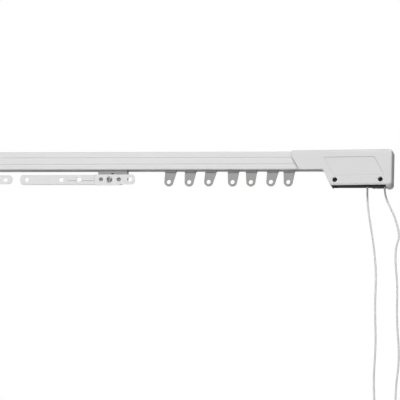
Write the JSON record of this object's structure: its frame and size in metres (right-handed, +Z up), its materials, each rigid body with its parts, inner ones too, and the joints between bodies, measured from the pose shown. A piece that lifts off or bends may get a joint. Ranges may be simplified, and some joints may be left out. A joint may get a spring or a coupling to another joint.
{
  "type": "curtain track",
  "caption": "White cord-drawn curtain track that parts in the middle, with swinging hook eyes, overlap arms, flared end covers, wall brackets and a hanging pull cord.",
  "frame": {"origin": "middle of the right wall bracket's screw holes, on the wall", "axes": "+X along the track to the right as seen from the room, +Y into the wall, +Z up"},
  "size_m": [1.1689, 0.0752, 0.4988],
  "materials": {
    "white_paint": "satin",
    "white_moulding": "satin",
    "nylon": "natural nylon, slightly translucent",
    "steel": "dull zinc plated",
    "cord": "braided",
    "strap": "woven"
  },
  "bodies": {
    "right_track": {"outer_track": "white_paint", "right_end_cover": "white_moulding", "right_pulley_housing": "white_moulding", "right_axle_pins": "steel", "right_cover_screws": "steel", "right_wall_bracket": "white_paint", "track_cord": "cord", "rear_cord_drop": "cord", "front_cord_drop": "cord", "cord_hank": "cord", "hank_tie": "strap"},
    "left_track": {"inner_track": "white_paint", "left_end_cover": "white_moulding", "left_pulley_housing": "white_moulding", "left_axle_pin": "steel", "left_cover_screws": "steel", "left_wall_bracket": "white_paint"},
    "right_master": {"right_master_slide": "nylon", "right_cord_clamp": "nylon", "right_master_plate": "white_paint", "right_overlap_arm": "white_paint", "right_master_screw": "steel"},
    "left_master": {"left_master_slide": "nylon", "left_cord_clamp": "nylon", "left_master_plate": "white_paint", "left_overlap_arm": "white_paint", "left_master_screw": "steel"},
    "right_front_pulley": {"right_front_pulley": "nylon"},
    "right_rear_pulley": {"right_rear_pulley": "nylon"},
    "left_pulley": {"left_pulley": "nylon"},
    "right_runner_1": {"right_runner_1": "nylon"},
    "right_eye_1": {"right_eye_1": "nylon"},
    "right_runner_2": {"right_runner_2": "nylon"},
    "right_eye_2": {"right_eye_2": "nylon"},
    "right_runner_3": {"right_runner_3": "nylon"},
    "right_eye_3": {"right_eye_3": "nylon"},
    "right_runner_4": {"right_runner_4": "nylon"},
    "right_eye_4": {"right_eye_4": "nylon"},
    "right_runner_5": {"right_runner_5": "nylon"},
    "right_eye_5": {"right_eye_5": "nylon"},
    "right_runner_6": {"right_runner_6": "nylon"},
    "right_eye_6": {"right_eye_6": "nylon"},
    "right_runner_7": {"right_runner_7": "nylon"},
    "right_eye_7": {"right_eye_7": "nylon"},
    "left_runner_1": {"left_runner_1": "nylon"},
    "left_eye_1": {"left_eye_1": "nylon"},
    "left_runner_2": {"left_runner_2": "nylon"},
    "left_eye_2": {"left_eye_2": "nylon"},
    "left_runner_3": {"left_runner_3": "nylon"},
    "left_eye_3": {"left_eye_3": "nylon"},
    "left_runner_4": {"left_runner_4": "nylon"},
    "left_eye_4": {"left_eye_4": "nylon"},
    "left_runner_5": {"left_runner_5": "nylon"},
    "left_eye_5": {"left_eye_5": "nylon"},
    "left_runner_6": {"left_runner_6": "nylon"},
    "left_eye_6": {"left_eye_6": "nylon"},
    "left_runner_7": {"left_runner_7": "nylon"},
    "left_eye_7": {"left_eye_7": "nylon"}
  },
  "joints": [
    {"name": "rod_extension", "type": "slide", "parent": "right_track", "child": "left_track", "axis": [-1, 0, 0], "range_m": [-0.03, 0.056], "deforming": ["track_cord"]},
    {"name": "right_master_slide", "type": "slide", "parent": "right_track", "child": "right_master", "axis": [1, 0, 0], "range_m": [-0.046, 0.145]},
    {"name": "left_master_slide", "type": "slide", "parent": "left_track", "child": "left_master", "axis": [1, 0, 0], "range_m": [-0.145, 0.046]},
    {"name": "right_runner_1_slide", "type": "slide", "parent": "right_track", "child": "right_runner_1", "axis": [1, 0, 0], "range_m": [-0.03302, 0.10301]},
    {"name": "right_eye_1_swing", "type": "hinge", "parent": "right_runner_1", "child": "right_eye_1", "pos_m": [-0.31072, -0.0583, -0.0046], "axis": [0, 1, 0], "range_deg": [-24.9, 5.1]},
    {"name": "right_runner_2_slide", "type": "slide", "parent": "right_track", "child": "right_runner_2", "axis": [1, 0, 0], "range_m": [-0.02943, 0.0917]},
    {"name": "right_eye_2_swing", "type": "hinge", "parent": "right_runner_2", "child": "right_eye_2", "pos_m": [-0.2806, -0.0583, -0.0046], "axis": [0, 1, 0], "range_deg": [-21.6, 8.4]},
    {"name": "right_runner_3_slide", "type": "slide", "parent": "right_track", "child": "right_runner_3", "axis": [1, 0, 0], "range_m": [-0.02548, 0.07923]},
    {"name": "right_eye_3_swing", "type": "hinge", "parent": "right_runner_3", "child": "right_eye_3", "pos_m": [-0.24921, -0.0583, -0.0046], "axis": [0, 1, 0], "range_deg": [-26.3, 3.7]},
    {"name": "right_runner_4_slide", "type": "slide", "parent": "right_track", "child": "right_runner_4", "axis": [1, 0, 0], "range_m": [-0.0206, 0.06386]},
    {"name": "right_eye_4_swing", "type": "hinge", "parent": "right_runner_4", "child": "right_eye_4", "pos_m": [-0.21499, -0.0583, -0.0046], "axis": [0, 1, 0], "range_deg": [-18.6, 11.4]},
    {"name": "right_runner_5_slide", "type": "slide", "parent": "right_track", "child": "right_runner_5", "axis": [1, 0, 0], "range_m": [-0.01784, 0.05516]},
    {"name": "right_eye_5_swing", "type": "hinge", "parent": "right_runner_5", "child": "right_eye_5", "pos_m": [-0.18753, -0.0583, -0.0046], "axis": [0, 1, 0], "range_deg": [-17, 13]},
    {"name": "right_runner_6_slide", "type": "slide", "parent": "right_track", "child": "right_runner_6", "axis": [1, 0, 0], "range_m": [-0.01347, 0.04139]},
    {"name": "right_eye_6_swing", "type": "hinge", "parent": "right_runner_6", "child": "right_eye_6", "pos_m": [-0.15481, -0.0583, -0.0046], "axis": [0, 1, 0], "range_deg": [-24.3, 5.7]},
    {"name": "right_runner_7_slide", "type": "slide", "parent": "right_track", "child": "right_runner_7", "axis": [1, 0, 0], "range_m": [-0.01149, 0.03515]},
    {"name": "right_eye_7_swing", "type": "hinge", "parent": "right_runner_7", "child": "right_eye_7", "pos_m": [-0.12989, -0.0583, -0.0046], "axis": [0, 1, 0], "range_deg": [-19.3, 10.7]},
    {"name": "left_runner_1_slide", "type": "slide", "parent": "left_track", "child": "left_runner_1", "axis": [1, 0, 0], "range_m": [-0.10301, 0.03302]},
    {"name": "left_eye_1_swing", "type": "hinge", "parent": "left_runner_1", "child": "left_eye_1", "pos_m": [-0.78928, -0.0583, -0.0036], "axis": [0, 1, 0], "range_deg": [-5.1, 24.9]},
    {"name": "left_runner_2_slide", "type": "slide", "parent": "left_track", "child": "left_runner_2", "axis": [1, 0, 0], "range_m": [-0.0917, 0.02943]},
    {"name": "left_eye_2_swing", "type": "hinge", "parent": "left_runner_2", "child": "left_eye_2", "pos_m": [-0.8194, -0.0583, -0.0036], "axis": [0, 1, 0], "range_deg": [-8.4, 21.6]},
    {"name": "left_runner_3_slide", "type": "slide", "parent": "left_track", "child": "left_runner_3", "axis": [1, 0, 0], "range_m": [-0.07923, 0.02548]},
    {"name": "left_eye_3_swing", "type": "hinge", "parent": "left_runner_3", "child": "left_eye_3", "pos_m": [-0.85079, -0.0583, -0.0036], "axis": [0, 1, 0], "range_deg": [-3.7, 26.3]},
    {"name": "left_runner_4_slide", "type": "slide", "parent": "left_track", "child": "left_runner_4", "axis": [1, 0, 0], "range_m": [-0.06386, 0.0206]},
    {"name": "left_eye_4_swing", "type": "hinge", "parent": "left_runner_4", "child": "left_eye_4", "pos_m": [-0.88501, -0.0583, -0.0036], "axis": [0, 1, 0], "range_deg": [-11.4, 18.6]},
    {"name": "left_runner_5_slide", "type": "slide", "parent": "left_track", "child": "left_runner_5", "axis": [1, 0, 0], "range_m": [-0.05516, 0.01784]},
    {"name": "left_eye_5_swing", "type": "hinge", "parent": "left_runner_5", "child": "left_eye_5", "pos_m": [-0.91247, -0.0583, -0.0036], "axis": [0, 1, 0], "range_deg": [-13, 17]},
    {"name": "left_runner_6_slide", "type": "slide", "parent": "left_track", "child": "left_runner_6", "axis": [1, 0, 0], "range_m": [-0.04139, 0.01347]},
    {"name": "left_eye_6_swing", "type": "hinge", "parent": "left_runner_6", "child": "left_eye_6", "pos_m": [-0.94519, -0.0583, -0.0036], "axis": [0, 1, 0], "range_deg": [-5.7, 24.3]},
    {"name": "left_runner_7_slide", "type": "slide", "parent": "left_track", "child": "left_runner_7", "axis": [1, 0, 0], "range_m": [-0.03515, 0.01149]},
    {"name": "left_eye_7_swing", "type": "hinge", "parent": "left_runner_7", "child": "left_eye_7", "pos_m": [-0.97011, -0.0583, -0.0036], "axis": [0, 1, 0], "range_deg": [-10.7, 19.3]},
    {"name": "right_front_pulley_spin", "type": "hinge", "parent": "right_track", "child": "right_front_pulley", "pos_m": [0.0082, -0.0535, 0.013], "axis": [0, 1, 0], "range_deg": [-1500, 1500]},
    {"name": "right_rear_pulley_spin", "type": "hinge", "parent": "right_track", "child": "right_rear_pulley", "pos_m": [-0.0178, -0.0535, 0.001], "axis": [0, 1, 0], "range_deg": [-1500, 1500]},
    {"name": "left_pulley_spin", "type": "hinge", "parent": "left_track", "child": "left_pulley", "pos_m": [-1.1082, -0.0535, 0.013], "axis": [0, 1, 0], "range_deg": [-1500, 1500]}
  ],
  "couplings": [
    {"joint": "left_master_slide", "follows": "right_master_slide", "ratio": -1},
    {"joint": "right_runner_1_slide", "follows": "right_master_slide", "ratio": 0.707},
    {"joint": "right_runner_2_slide", "follows": "right_master_slide", "ratio": 0.629},
    {"joint": "right_runner_3_slide", "follows": "right_master_slide", "ratio": 0.543},
    {"joint": "right_runner_4_slide", "follows": "right_master_slide", "ratio": 0.437},
    {"joint": "right_runner_5_slide", "follows": "right_master_slide", "ratio": 0.377},
    {"joint": "right_runner_6_slide", "follows": "right_master_slide", "ratio": 0.282},
    {"joint": "right_runner_7_slide", "follows": "right_master_slide", "ratio": 0.239},
    {"joint": "left_runner_1_slide", "follows": "right_master_slide", "ratio": -0.707},
    {"joint": "left_runner_2_slide", "follows": "right_master_slide", "ratio": -0.629},
    {"joint": "left_runner_3_slide", "follows": "right_master_slide", "ratio": -0.543},
    {"joint": "left_runner_4_slide", "follows": "right_master_slide", "ratio": -0.437},
    {"joint": "left_runner_5_slide", "follows": "right_master_slide", "ratio": -0.377},
    {"joint": "left_runner_6_slide", "follows": "right_master_slide", "ratio": -0.282},
    {"joint": "left_runner_7_slide", "follows": "right_master_slide", "ratio": -0.239},
    {"joint": "right_front_pulley_spin", "follows": "right_master_slide", "rad_per_m": -166.67},
    {"joint": "right_rear_pulley_spin", "follows": "right_master_slide", "rad_per_m": 166.67},
    {"joint": "left_pulley_spin", "follows": "right_master_slide", "rad_per_m": -166.67}
  ]
}
